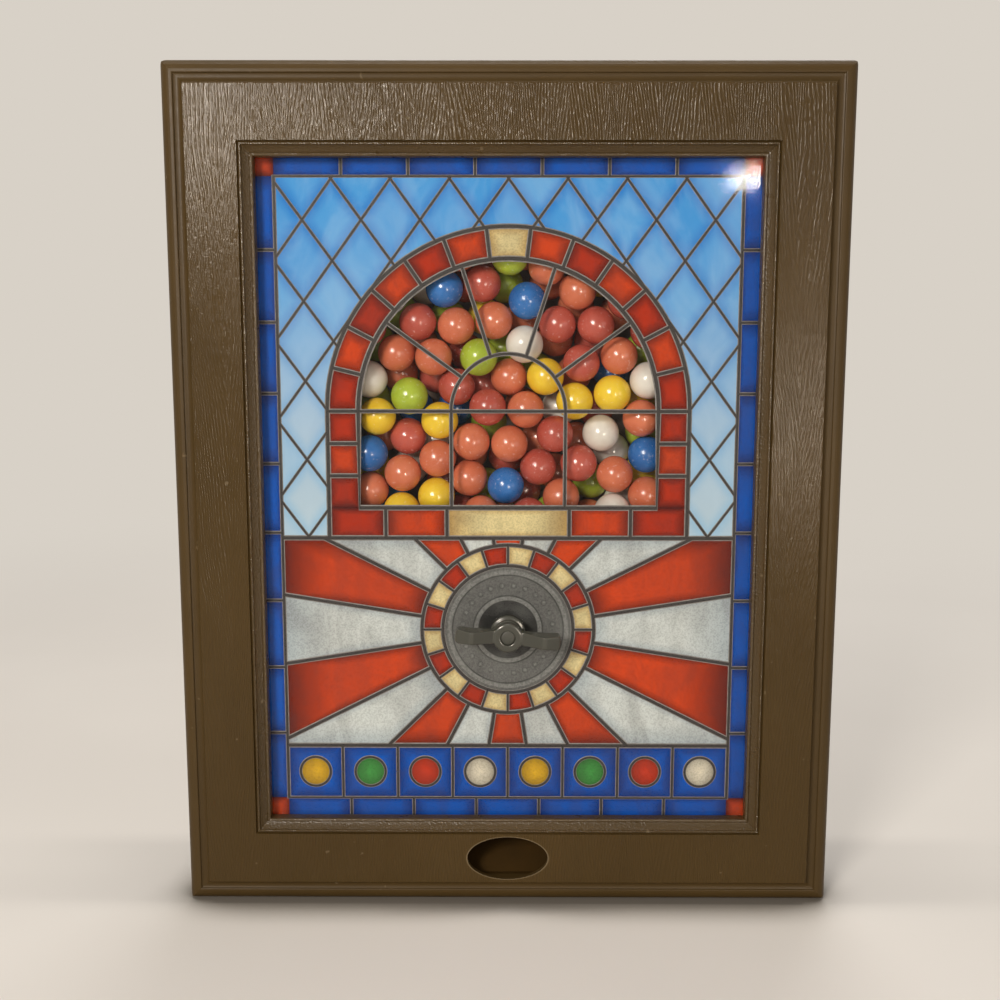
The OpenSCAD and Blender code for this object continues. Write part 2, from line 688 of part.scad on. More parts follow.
module thrust_washer() color([0.8, 0.8, 0.78]) difference() {
    rod(0, z_axis, shaft_r + 3, y_clip - washer_t, y_clip);
    rod(0, z_axis, shaft_r + run_gap, y_clip - washer_t - 1, y_clip + 1);
}

module shaft_clip() color([0.55, 0.56, 0.58]) difference() {
    rod(0, z_axis, shaft_r + 2.2, y_clip, y_clip + clip_t);
    rod(0, z_axis, clip_groove_r + run_gap, y_clip - 1, y_clip + clip_t + 1);
    block(-clip_groove_r * 0.8, clip_groove_r * 0.8, y_clip - 1, y_clip + clip_t + 1,
        z_axis - 4 * shaft_r, z_axis);
}

// The hub, turned round its axis: first the radius, then the height above the base
function hub_section() =
    let (
        top = y_handle_base - y_hub_front,
        disc = 3,
        collar_r = hub_front_r - 0.3,
        collar = disc + 1.6,
        neck_r = hub_front_r - 1.1,
        front = max(collar + 0.2, top - (wing_d - wing_sweep) - 0.8)
    )
    concat(
        [[0, 0], [hub_base_r, 0]],
        arc(hub_base_r - 1, disc - 1, 1, 0, 90),
        [[collar_r, disc]],
        arc(collar_r - 0.6, collar - 0.6, 0.6, 0, 90, 4),
        [[neck_r, collar], [neck_r, front], [hub_front_r, front + 0.8]],
        arc(hub_front_r - 0.8, top - 0.8, 0.8, 0, 90),
        [[0, top]]);

// A wing's outline seen from the front: narrowest at its bend
function wing_front() =
    let (
        tip = handle_span / 2,
        h = wing_h / 2,
        corner = 1.6,
        flare_from = 0.62,
        lower = [for (t = [0 : 0.2 : 1])
            [tip * flare_from + (tip * (1 - flare_from) - corner) * t, -h * (0.89 + 0.11 * t * t)]],
        side = concat([[0, -h]], lower, arc(tip - corner, -h + corner, corner, 288, 360, 4)),
        n = len(side)
    )
    concat(side, [for (i = [1 : n]) [side[n - i][0], -side[n - i][1]]]);

// A wing's outline seen from above: swept forward from the hub, then bent back towards its tip
function wing_plan() =
    let (
        tip = handle_span / 2,
        root = y_hub_front + 0.3,
        rear = y_handle_front + wing_d,
        bend_x = tip * 0.7,
        bend_r = 2.5,
        round = 1.2,
        sweep = atan2(wing_sweep, bend_x - hub_front_r),
        y_tip = y_handle_front + (tip - round - bend_x) * tan(wing_bend)
    )
    concat(
        [[0, root], [hub_front_r, root]],
        arc(bend_x, y_handle_front + bend_r, bend_r, 270 - sweep, 270 + wing_bend, 6),
        arc(tip - round, y_tip + round, round, 270 + wing_bend, 360, 4),
        arc(tip - round, rear - round, round, 0, 90, 4),
        [[0, rear]]);

module wing() intersection() {
    slab(y_handle_front - 1, y_handle_base) polygon(wing_front());
    translate([0, 0, -wing_h]) linear_extrude(2 * wing_h) polygon(wing_plan());
}

module handle() color([0.4, 0.4, 0.35]) difference() {
    translate([0, 0, z_axis]) rotate([0, handle_angle, 0]) {
        translate([0, y_handle_base, 0]) rotate([90, 0, 0]) rotate_extrude() polygon(hub_section());
        wing();
        rotate([0, 180, 0]) wing();
    }
    flat_bore(shaft_r + run_gap, shaft_flat + run_gap, y_shaft_front, y_handle_base + 1);
    rod(0, z_axis, handle_screw_r + fit_gap, y_hub_front, y_handle_base);
    rod(0, z_axis, cap_r + run_gap, y_hub_front - 1, y_shaft_front - 1);
}

module handle_screw() color("silver") {
    rod(0, z_axis, cap_r - 0.5, y_shaft_front - 1 - head_t, y_shaft_front - 1);
    rod(0, z_axis, handle_screw_r, y_shaft_front - 1, y_shaft_front + handle_screw_l - 2);
}

module hub_cap() color([0.4, 0.4, 0.35])
    translate([0, y_shaft_front - 1 - head_t, z_axis]) rotate([90, 0, 0]) rotate_extrude()
        polygon(concat([[0, 0], [cap_r, 0], [cap_r, cap_rim_h]],
            [for (a = [15 : 15 : 90]) [(cap_r - 0.1) * cos(a), cap_rim_h + cap_rise * sin(a)]]));

// A round bar along X on the door's hinge, between two places
module hinge_bar(r, x0, x1) translate([x0, y_hinge, z_hinge]) rotate([0, 90, 0])
    cylinder(r = r, h = x1 - x0);

// An ear that carries the door's pin: round above, so that the door swings past it
module hinge_ear(side) {
    x0 = min(side * ear_in, side * ear_out);
    x1 = max(side * ear_in, side * ear_out);
    hinge_bar(barrel_r, x0, x1);
    block(x0, x1, y_hinge - barrel_r, y_hinge + barrel_r, z_hinge - barrel_r - 1, z_hinge);
}

module rear_housing() color([0.24, 0.18, 0.11]) difference() {
    union() {
        rear_shell();
        for (side = [-1, 1]) hinge_ear(side);
    }
    hinge_bar(pin_r + 0.02, -door_w, door_w);
}

// The box with its flange, door opening and keyholes
module rear_shell() difference() {
    union() {
        slab(y_flange, y_skirt)
            round_rect(frame_w - 2 * flange_u, frame_h - 2 * flange_u, max(0.6, corner_r - 1));
        slab(y_flange, 0) round_rect(box_w, box_h, housing_r);
    }
    slab(y_flange - 1, y_back)
        round_rect(box_w - 2 * housing_wall, box_h - 2 * housing_wall, housing_r - housing_wall + 0.5);
    for (turn = [0, 180]) rotate([0, turn, 0]) translate([0, 0, box_h / 2]) rotate([45, 0, 0])
        cube([2 * box_w, chamfer, chamfer], center = true);
    for (turn = [90, 270]) rotate([0, turn, 0]) translate([0, 0, box_w / 2]) rotate([45, 0, 0])
        cube([2 * box_h, chamfer, chamfer], center = true);
    for (p = flange_screw_spots) rod(p[0], p[1], screw_r + fit_gap, y_flange - 1, y_skirt + 1);
    block(-door_w / 2 - door_gap, door_w / 2 + door_gap, y_back - 1, 1,
        z_hinge - barrel_r - door_gap, door_top + door_gap);
    for (side = [-1, 1]) {
        rod(side * keyhole_spacing / 2, hang_z, keyhole_r, y_back - 1, 1);
        rod(side * keyhole_spacing / 2, hang_z + slot_travel, slot_r, y_back - 1, 1);
        block(side * keyhole_spacing / 2 - slot_r, side * keyhole_spacing / 2 + slot_r, y_back - 1, 1,
            hang_z, hang_z + slot_travel);
    }
}

module fill_door() color([0.26, 0.20, 0.12]) difference() {
    union() {
        block(-door_w / 2, door_w / 2, y_back, 0, z_hinge + barrel_r + door_gap, door_top);
        block(-ear_in + door_gap, ear_in - door_gap, y_back, 0, z_hinge, door_top - 1);
        hinge_bar(barrel_r, -ear_in + door_gap, ear_in - door_gap);
    }
    hinge_bar(pin_r + run_gap, -door_w, door_w);
    rod(0, door_top, notch_r, y_back - 1, 1);
}

module hinge_pin() color("silver") hinge_bar(pin_r, -ear_out + 1, ear_out - 1);

// Moves a piece from the frame's middle to the origin between the keyholes
module hung() translate([0, 0, -hang_z]) children();

hung() front_frame();
hung() clear_panel();
hung() picture_film();
hung() chassis_plate();
hung() chassis_screws();
hung() hopper();
hung() wheel_housing();
hung() chute();
hung() mechanism_screws();
hung() delivery_tray();
hung() tray_screws();
hung() gumballs_red();
hung() gumballs_coral();
hung() gumballs_yellow();
hung() gumballs_blue();
hung() gumballs_green();
hung() gumballs_white();
hung() dispensing_wheel();
hung() drive_shaft();
hung() front_bush();
hung() thrust_washer();
hung() shaft_clip();
hung() handle();
hung() handle_screw();
hung() hub_cap();
hung() rear_housing();
hung() housing_screws();
hung() fill_door();
hung() hinge_pin();
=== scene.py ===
import math

import bmesh
import bpy
from mathutils import Matrix, Vector


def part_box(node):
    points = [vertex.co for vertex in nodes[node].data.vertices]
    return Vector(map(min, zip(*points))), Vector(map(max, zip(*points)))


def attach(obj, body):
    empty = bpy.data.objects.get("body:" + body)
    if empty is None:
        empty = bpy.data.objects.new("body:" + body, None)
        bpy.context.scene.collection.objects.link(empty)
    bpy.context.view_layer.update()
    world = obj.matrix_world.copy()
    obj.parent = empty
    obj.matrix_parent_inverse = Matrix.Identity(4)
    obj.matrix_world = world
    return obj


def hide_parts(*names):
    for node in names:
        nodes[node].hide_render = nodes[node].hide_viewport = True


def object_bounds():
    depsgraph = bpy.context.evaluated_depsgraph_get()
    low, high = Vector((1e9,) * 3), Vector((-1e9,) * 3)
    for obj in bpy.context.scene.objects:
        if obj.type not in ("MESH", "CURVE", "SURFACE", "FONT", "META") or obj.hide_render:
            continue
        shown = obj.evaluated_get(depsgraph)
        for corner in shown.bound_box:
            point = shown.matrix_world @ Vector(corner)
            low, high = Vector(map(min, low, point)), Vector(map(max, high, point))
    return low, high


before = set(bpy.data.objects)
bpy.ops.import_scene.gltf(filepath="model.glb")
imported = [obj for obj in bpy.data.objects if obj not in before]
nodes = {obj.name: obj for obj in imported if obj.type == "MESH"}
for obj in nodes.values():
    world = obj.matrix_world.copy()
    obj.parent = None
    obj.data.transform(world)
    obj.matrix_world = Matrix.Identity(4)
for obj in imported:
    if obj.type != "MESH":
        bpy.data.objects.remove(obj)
cad_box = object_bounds()
scene = bpy.context.scene
MM = 0.001

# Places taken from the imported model, in metres
frame_lo, frame_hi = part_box("front_frame")
film_lo, film_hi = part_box("picture_film")
hub_lo, hub_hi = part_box("hub_cap")
MID_Z = (frame_lo.z + frame_hi.z) / 2
FACE_Y = frame_lo.y
Y_FILM = film_lo.y
Y_FILM_REAR = film_hi.y

# The oval opening: the only points of the frame's face that lie near its middle line
SAME_PLANE = 0.01 * MM
NEAR_MIDDLE = 50 * MM
oval = [v.co for v in nodes["front_frame"].data.vertices
        if abs(v.co.y - FACE_Y) < SAME_PLANE and abs(v.co.x) < NEAR_MIDDLE]
oval_top = max(v.z for v in oval)
oval_foot = min(v.z for v in oval)
OVAL_HALF_W = max(v.x for v in oval)
OVAL_HALF_H = (oval_top - oval_foot) / 2
OVAL_Z = (oval_top + oval_foot) / 2

# Sizes of the leaded picture, in millimetres from the middle of the frame
FILM_X = (film_hi.x - film_lo.x) / 2 / MM
FILM_Z = (film_hi.z - film_lo.z) / 2 / MM
AXIS_Z = ((hub_lo.z + hub_hi.z) / 2 - MID_Z) / MM
LIP = 4.0  # how far the frame's lip covers the film
SIGHT_X = FILM_X - LIP
SIGHT_Z = FILM_Z - LIP
INNER_MOULD = 5.2  # width of the moulding round the panel
BORDER = 7.0
IN_X = SIGHT_X - BORDER
IN_Z = SIGHT_Z - BORDER
WIN_HALF = 63.0
WIN_FOOT = -4.0
WIN_SPRING = 37.0
RING = 13.0  # width of the arch of stones
RING_HALF = WIN_HALF + RING
RING_FOOT = WIN_FOOT - RING
FAN_R = 24.0
SILL_KEY = 26.0
SILL_END = 52.0
BAND_TOP = -109.0
BAND_FOOT = -IN_Z
BAND_SPLIT = 0.1  # half the gap between the two lengths of a dividing strip
PLATE_R = 28.0
COLLAR_R = 37.0
BUSH_R = 5.2
JEWEL_R = 6.4
JEWEL_LEAD_R = 6.6
CELL_W = 24.25
CELL_H = 33.0
LATTICE_STEP = 0.25  # between the points tried along a diagonal

# Counts
STONES = 13
SIDE_STONES = 3
FAN_PARTS = 5
RAYS = 20
JEWELS = 8
BORDER_ACROSS = 7
BORDER_UP = 9
LATTICE_REACH = 14  # diagonals to each side of the middle one
SHORT_RUN = 6  # a run of no more points than this is left out
BEADS = 24

# Depths of the picture's layers, in metres
Y_BASE = Y_FILM_REAR - 0.22 * MM
Y_PANE = Y_FILM + 0.20 * MM
Y_LEAD = Y_FILM + 0.22 * MM
LEAD_RISE = 0.20 * MM
JEWEL_RISE = 0.16 * MM

# Widths of the lead strips, in millimetres
LEAD_LATTICE = 1.5
LEAD_THIN = 1.6
LEAD_BAR = 1.8
LEAD_MAIN = 2.2
LEAD_WIDE = 2.4
LEAD_WINDOW = 2.6

# A lead strip's section: share of the half width, share of the rise, and whether it is pale there
LEAD_SECTION = ((-1, 0, True), (-0.72, 0.6, True), (-0.5, 0.9, False), (0, 1, False),
                (0.5, 0.9, False), (0.72, 0.6, True), (1, 0, True))

# How far a pane's bright middle reaches towards its edge
MIDDLE_STONE = 0.35
MIDDLE_SMALL = 0.4
MIDDLE_RAY = 0.5
MIDDLE_BLUE = 0.55

# The span that most values of a noise lie in
NOISE_SPAN = (0.3, 0.7)


# Colours

def srgb(r, g, b):
    def one(v):
        v /= 255
        return v / 12.92 if v <= 0.04045 else ((v + 0.055) / 1.055) ** 2.4
    return (one(r), one(g), one(b), 1.0)


def darker(colour, share):
    return tuple(share * c for c in colour[:3]) + (1.0,)


# Panes, each with a bright middle and a dark edge
RED = (srgb(204, 66, 20), srgb(92, 20, 8))
DEEP = (srgb(178, 46, 14), srgb(70, 14, 7))
CREAM = (srgb(226, 206, 150), srgb(178, 140, 78))
PALE = (srgb(206, 208, 202), srgb(168, 176, 178))
COBALT = (srgb(8, 84, 178), srgb(2, 44, 112))
JEWEL_COLOURS = (srgb(226, 176, 40), srgb(70, 150, 70), srgb(206, 60, 30), srgb(226, 214, 190))
JEWEL_EDGE = 0.35
LEAD_DARK = srgb(50, 46, 44)
LEAD_PALE = srgb(142, 135, 129)
GREY = srgb(98, 96, 92)
GREY_DARK = srgb(34, 33, 31)
GREY_PALE = srgb(126, 124, 119)
# A pale brown for scuffs of wear, and for the painted highlight round the oval opening
WORN_AND_HIGHLIGHT_BROWN = srgb(150, 132, 104)
SUGAR = srgb(240, 232, 222)
BACKDROP = srgb(216, 209, 199)
# The dark floor colour of the painted contact shadow close to the object
FLOOR_PAINTED_SHADOW = srgb(128, 120, 110)


# Shader helpers

# Sockets of a Mix node that mixes colours
MIX_SHARE, MIX_A, MIX_B, MIX_RESULT = 0, 6, 7, 2


class Shader:
    """A material with short calls for the nodes used here."""

    def __init__(self, name):
        self.mat = bpy.data.materials.new(name)
        self.mat.use_nodes = True
        self.tree = self.mat.node_tree
        self.main = self.tree.nodes["Principled BSDF"]
        self.out = self.tree.nodes["Material Output"]
        self.coord = self.node("TexCoord").outputs["Object"]

    def node(self, kind):
        return self.tree.nodes.new("ShaderNode" + kind)

    def link(self, a, b):
        self.tree.links.new(a, b)

    def put(self, socket, value):
        """Links a socket to another one, or sets its value."""
        if isinstance(value, bpy.types.NodeSocket):
            self.link(value, socket)
        else:
            socket.default_value = value

    def stretch(self, x=1, y=1, z=1):
        """The place on the object, scaled along each axis."""
        n = self.node("Mapping")
        self.link(self.coord, n.inputs["Vector"])
        n.inputs["Scale"].default_value = (x, y, z)
        return n.outputs["Vector"]

    def noise(self, vector, scale, detail=3.0, rough=0.55, twist=0.0):
        n = self.node("TexNoise")
        self.link(vector, n.inputs["Vector"])
        n.inputs["Scale"].default_value = scale
        n.inputs["Detail"].default_value = detail
        n.inputs["Roughness"].default_value = rough
        n.inputs["Distortion"].default_value = twist
        return n.outputs["Fac"]

    def math(self, kind, a, b=0.0):
        n = self.node("Math")
        n.operation = kind
        self.put(n.inputs[0], a)
        self.put(n.inputs[1], b)
        return n.outputs[0]

    def plus(self, a, b):
        return self.math("ADD", a, b)

    def minus(self, a, b):
        return self.math("SUBTRACT", a, b)

    def times(self, a, b):
        return self.math("MULTIPLY", a, b)

    def spread(self, value, between, gives=(0.0, 1.0)):
        """A soft step: one span of values becomes another."""
        n = self.node("MapRange")
        n.interpolation_type = "SMOOTHSTEP"
        self.put(n.inputs["Value"], value)
        for key, v in zip(("From Min", "From Max", "To Min", "To Max"), between + gives):
            n.inputs[key].default_value = v
        return n.outputs["Result"]

    def axes(self):
        n = self.node("SeparateXYZ")
        self.link(self.coord, n.inputs[0])
        return n.outputs[0], n.outputs[1], n.outputs[2]

    def mix(self, share, a, b):
        n = self.node("Mix")
        n.data_type = "RGBA"
        self.put(n.inputs[MIX_SHARE], share)
        self.put(n.inputs[MIX_A], a)
        self.put(n.inputs[MIX_B], b)
        return n.outputs[MIX_RESULT]

    def attribute(self, name):
        n = self.node("Attribute")
        n.attribute_name = name
        return n.outputs["Color"]

    def bump(self, height, strength, distance):
        n = self.node("Bump")
        n.inputs["Strength"].default_value = strength
        n.inputs["Distance"].default_value = distance
        self.link(height, n.inputs["Height"])
        return n.outputs["Normal"]

    def finish(self, colour, rough, normal=None, metal=0.0, level=0.5):
        """Sets the main shader; the level is that of its reflection."""
        self.put(self.main.inputs["Base Color"], colour)
        self.put(self.main.inputs["Roughness"], rough)
        self.put(self.main.inputs["Metallic"], metal)
        self.put(self.main.inputs["Specular IOR Level"], level)
        if normal is not None:
            self.link(normal, self.main.inputs["Normal"])
        return self.mat


def mix_shaders(tree, share, first, second):
    n = tree.nodes.new("ShaderNodeMixShader")
    for socket, source in zip(n.inputs, (share, first, second)):
        tree.links.new(source, socket)
    return n.outputs[0]


def seen_directly(tree):
    """1 for rays that show the background itself: from the camera, a mirror or a clear sheet."""
    path = tree.nodes.new("ShaderNodeLightPath")
    total = path.outputs["Is Camera Ray"]
    for kind in ("Is Glossy Ray", "Is Transmission Ray"):
        n = tree.nodes.new("ShaderNodeMath")
        n.operation = "MAXIMUM"
        tree.links.new(total, n.inputs[0])
        tree.links.new(path.outputs[kind], n.inputs[1])
        total = n.outputs[0]
    return total


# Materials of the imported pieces

def grain_ridges(s, x, z):
    """Arched lines like those of a sawn board, as heights from 0 to 1."""
    arch_half = 13 * MM
    sway_width = 26 * MM
    turns_across = 5460
    turns_up = 480
    jitter_turns = 3.6
    sway = s.minus(s.noise(s.stretch(z=0.22), scale=24, rough=0.5), 0.5)
    across = s.plus(x, s.times(sway, sway_width))
    arch = s.math("PINGPONG", across, arch_half)
    phase = s.plus(s.times(arch, turns_across), s.times(z, turns_up))
    jitter = s.noise(s.stretch(z=0.3), scale=420, detail=2)
    phase = s.plus(phase, s.times(jitter, jitter_turns))
    return s.spread(s.math("SINE", phase), (-0.6, 0.8))


def inner_moulding(s, x, z):
    """1 on the moulding round the panel, and 0 outside it."""
    reach_x = (SIGHT_X + INNER_MOULD) * MM
    reach_z = (SIGHT_Z + INNER_MOULD) * MM
    near_x = s.math("LESS_THAN", s.math("ABSOLUTE", x), reach_x)
    near_z = s.math("LESS_THAN", s.math("ABSOLUTE", s.minus(z, MID_Z)), reach_z)
    return s.times(near_x, near_z)


def oval_rim_highlight(s, x, z):
    """The share of a painted highlight round the oval opening, standing in for light on its rim; it
    fades away from its edge.
    """
    highlight_share = 0.45
    highlight_end = 1.05
    across = s.math("DIVIDE", x, OVAL_HALF_W)
    up = s.math("DIVIDE", s.minus(z, OVAL_Z), OVAL_HALF_H)
    away = s.math("SQRT", s.plus(s.times(across, across), s.times(up, up)))
    return s.spread(away, (1.0, highlight_end), (highlight_share, 0.0))


def wood_plastic(name, colour, shade):
    """Brown plastic: a grain pressed into the flat face with painted shade in its hollows, scuffs, a
    painted highlight round the oval opening, and a pitted skin on the mouldings.
    """
    ridge_height = 0.8
    fibre_height = 0.5
    pit_height = 0.3
    inner_pits = 1.7
    cloud_share = 0.6
    hollow_shade_share = 0.3
    dull_outer = 0.2
    dull_less = 0.1
    level_outer = 0.13
    level_more = 0.22
    s = Shader(name)
    x, y, z = s.axes()
    flat = s.spread(y, (FACE_Y + 0.1 * MM, FACE_Y + 0.4 * MM), (1.0, 0.0))
    inner = inner_moulding(s, x, z)
    ridge = grain_ridges(s, x, z)
    breaks = s.spread(s.noise(s.stretch(z=0.3), scale=900, detail=2), (0.35, 0.6), (0.3, 1.0))
    fibre = s.noise(s.stretch(z=0.08), scale=2400, detail=2, rough=0.6)
    grain = s.plus(s.times(s.times(ridge, breaks), ridge_height), s.times(fibre, fibre_height))
    pit_depth = s.plus(s.times(inner, inner_pits), pit_height)
    pits = s.times(s.noise(s.coord, scale=1300, detail=1), pit_depth)
    height = s.plus(s.times(grain, flat), pits)
    cloud = s.spread(s.noise(s.coord, scale=14), NOISE_SPAN)
    mixed = s.mix(s.times(cloud, cloud_share), colour, shade)
    # painted shade: the grain's hollows between its ridges are coloured darker
    hollow_shade = s.times(s.minus(1.0, ridge), s.times(flat, hollow_shade_share))
    mixed = s.mix(hollow_shade, mixed, shade)
    scuff = s.spread(s.noise(s.coord, scale=210, detail=2, rough=0.5), (0.72, 0.78), (0.0, 0.28))
    mixed = s.mix(scuff, mixed, WORN_AND_HIGHLIGHT_BROWN)
    # painted highlight: a pale rim round the oval opening, fading away from its edge
    mixed = s.mix(s.times(oval_rim_highlight(s, x, z), flat), mixed, WORN_AND_HIGHLIGHT_BROWN)
    dull = s.minus(dull_outer, s.times(inner, dull_less))
    rough = s.spread(s.noise(s.coord, scale=240), NOISE_SPAN, (0.17, 0.24))
    rough = s.plus(rough, s.times(s.minus(1.0, flat), dull))
    level = s.plus(s.times(inner, level_more), level_outer)
    normal = s.bump(height, strength=1.0, distance=0.13 * MM)
    return s.finish(mixed, rough, normal, level=level)


def plain_plastic(name, colour, shade, rough=0.4, grain=0.35, level=0.5):
    """Moulded plastic with a fine skin."""
    s = Shader(name)
    cloud = s.noise(s.coord, scale=35, detail=4)
    fine = s.noise(s.coord, scale=1800, detail=2)
    mixed = s.mix(s.spread(cloud, NOISE_SPAN), colour, shade)
    shine = s.spread(cloud, NOISE_SPAN, (rough - 0.05, rough + 0.07))
    normal = s.bump(fine, strength=grain, distance=0.08 * MM)
    return s.finish(mixed, shine, normal, level=level)


def metal(name, colour, rough=0.3):
    """Plated steel with fine streaks."""
    s = Shader(name)
    streak = s.noise(s.stretch(y=8), scale=400)
    mixed = s.mix(s.spread(streak, NOISE_SPAN), colour, darker(colour, 0.75))
    shine = s.spread(streak, NOISE_SPAN, (rough - 0.06, rough + 0.1))
    normal = s.bump(streak, strength=0.2, distance=0.05 * MM)
    return s.finish(mixed, shine, normal, metal=1.0)


def candy(name, colour, shade):
    """A sugar shell: slightly mottled, with a soft gloss and small chips."""
    fine_dents = 0.15
    s = Shader(name)
    cloud = s.noise(s.coord, scale=90)
    speck = s.spread(s.noise(s.coord, scale=700, detail=2), (0.62, 0.72), (0.0, 0.18))
    mixed = s.mix(s.spread(cloud, (0.35, 0.65)), colour, shade)
    mixed = s.mix(speck, mixed, SUGAR)
    fine = s.noise(s.coord, scale=900, detail=2)
    dents = s.plus(s.noise(s.coord, scale=140, detail=2), s.times(fine, fine_dents))
    rough = s.spread(cloud, NOISE_SPAN, (0.16, 0.26))
    normal = s.bump(dents, strength=0.3, distance=0.5 * MM)
    return s.finish(mixed, rough, normal, level=0.4)


def clear_sheet(name):
    """A clear panel: what lies behind shows through, and the lights shine on its front."""
    sheet_ior = 1.26
    scratch_height = 0.2
    s = Shader(name)
    clear = s.node("BsdfTransparent")
    clear.inputs["Color"].default_value = (0.98, 0.985, 0.985, 1)
    gloss = s.node("BsdfGlossy")
    gloss.inputs["Color"].default_value = (1, 1, 1, 1)
    smear = s.noise(s.stretch(z=0.5), scale=30, detail=4)
    scratch = s.noise(s.stretch(z=0.02), scale=700, detail=2)
    s.link(s.spread(smear, (0.35, 0.7), (0.03, 0.07)), gloss.inputs["Roughness"])
    wavy = s.plus(smear, s.times(scratch, scratch_height))
    s.link(s.bump(wavy, strength=0.05, distance=0.4 * MM), gloss.inputs["Normal"])
    fresnel = s.node("Fresnel")
    fresnel.inputs["IOR"].default_value = sheet_ior
    rear_side = s.node("NewGeometry").outputs["Backfacing"]
    share = s.times(fresnel.outputs[0], s.minus(1.0, rear_side))
    shine = mix_shaders(s.tree, share, clear.outputs[0], gloss.outputs[0])
    s.link(shine, s.out.inputs["Surface"])
    s.tree.nodes.remove(s.main)
    return s.mat


# Materials of the picture

def pane_glass(name):
    """A coloured pane: its colour is on the mesh, with streaks and a fine print grain."""
    s = Shader(name)
    streak = s.noise(s.stretch(z=0.45), scale=75, detail=4, rough=0.6, twist=0.8)
    print_grain = s.noise(s.coord, scale=1600, detail=1)
    streaks = s.spread(streak, (0.32, 0.7), (0.0, 0.3))
    dots = s.spread(print_grain, (0.4, 0.68), (0.0, 0.22))
    colour = s.mix(streaks, s.attribute("shade"), (0.05, 0.03, 0.03, 1.0))
    colour = s.mix(dots, colour, (0.02, 0.015, 0.015, 1.0))
    normal = s.bump(streak, strength=0.2, distance=0.4 * MM)
    return s.finish(colour, rough=0.6, normal=normal, level=0.04)


def lead_metal(name):
    """Dull lead, with its shade on the mesh."""
    s = Shader(name)
    grain = s.noise(s.coord, scale=600)
    dull = s.spread(grain, NOISE_SPAN, (0.0, 0.4))
    colour = s.mix(dull, s.attribute("shade"), srgb(70, 62, 58))
    normal = s.bump(grain, strength=0.4, distance=0.2 * MM)
    return s.finish(colour, rough=0.45, normal=normal, level=0.12)


def sky_glass(name):
    """Blue panes in a diamond lattice, deep at the top and pale below."""
    chance_share = 0.3
    s = Shader(name)
    x, _, z = s.axes()
    u = s.math("DIVIDE", x, CELL_W * MM)
    v = s.math("DIVIDE", s.minus(z, MID_Z), CELL_H * MM)
    a = s.plus(u, v)
    b = s.minus(u, v)
    cell = s.node("CombineXYZ")
    s.link(s.math("FLOOR", a), cell.inputs[0])
    s.link(s.math("FLOOR", b), cell.inputs[1])
    chance = s.node("TexWhiteNoise")
    chance.noise_dimensions = "2D"
    s.link(cell.outputs[0], chance.inputs["Vector"])
    near_a = s.math("ABSOLUTE", s.minus(s.math("FRACT", a), 0.5))
    near_b = s.math("ABSOLUTE", s.minus(s.math("FRACT", b), 0.5))
    rim = s.spread(s.math("MAXIMUM", near_a, near_b), (0.22, 0.5))
    fall = s.spread(z, (MID_Z - 30 * MM, MID_Z + 130 * MM))
    base = s.mix(fall, srgb(186, 198, 202), srgb(60, 142, 206))
    base = s.mix(s.times(chance.outputs["Value"], chance_share), base, srgb(104, 172, 218))
    deep = s.mix(fall, srgb(150, 184, 206), srgb(40, 118, 192))
    streak = s.noise(s.stretch(z=0.5), scale=60, detail=4, rough=0.6, twist=0.9)
    colour = s.mix(rim, base, deep)
    colour = s.mix(s.spread(streak, (0.35, 0.7), (0.0, 0.16)), colour, srgb(196, 214, 224))
    normal = s.bump(streak, strength=0.2, distance=0.4 * MM)
    return s.finish(colour, rough=0.6, normal=normal, level=0.04)


def stippled_metal(name):
    """Grey metal with a stippled skin and its shade on the mesh."""
    s = Shader(name)
    speck = s.noise(s.coord, scale=1300, detail=2, rough=0.6)
    cloud = s.noise(s.coord, scale=60)
    specks = s.spread(speck, (0.35, 0.65), (0.0, 0.45))
    clouds = s.spread(cloud, (0.4, 0.7), (0.0, 0.2))
    colour = s.mix(specks, s.attribute("shade"), srgb(50, 49, 47))
    colour = s.mix(clouds, colour, srgb(128, 126, 121))
    normal = s.bump(speck, strength=0.5, distance=0.2 * MM)
    return s.finish(colour, rough=0.5, normal=normal, level=0.12)


# Mesh helpers: drawings are in millimetres from the middle of the frame, as x and z

def place(x, y, z):
    return Vector((x * MM, y, MID_Z + z * MM))


def polar(cx, cz, r, angle):
    """The point at a radius and an angle in degrees."""
    turn = math.radians(angle)
    return (cx + r * math.cos(turn), cz + r * math.sin(turn))


def arc(cx, cz, r, a0, a1, steps):
    return [polar(cx, cz, r, a0 + (a1 - a0) * i / steps) for i in range(steps + 1)]


def circle(cx, cz, r, steps=48):
    return arc(cx, cz, r, 0, 360, steps)[:-1]


def rect(x0, z0, x1, z1):
    return [(x0, z0), (x1, z0), (x1, z1), (x0, z1)]


def arch_loop(half, foot, spring, steps=48):
    return [(half, foot)] + arc(0, spring, half, 0, 180, steps) + [(-half, foot)]


def ring_part(cx, cz, r0, r1, a0, a1, steps):
    """The outline of a pane between two radii and two angles."""
    return arc(cx, cz, r0, a0, a1, steps) + arc(cx, cz, r1, a1, a0, steps)


def new_object(name, bm, mat):
    """A piece of the picture, from a mesh that is built."""
    bmesh.ops.recalc_face_normals(bm, faces=bm.faces)
    mesh = bpy.data.meshes.new(name)
    bm.to_mesh(mesh)
    bm.free()
    obj = bpy.data.objects.new(name, mesh)
    scene.collection.objects.link(obj)
    mesh.materials.append(mat)
    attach(obj, "cabinet")
    return obj


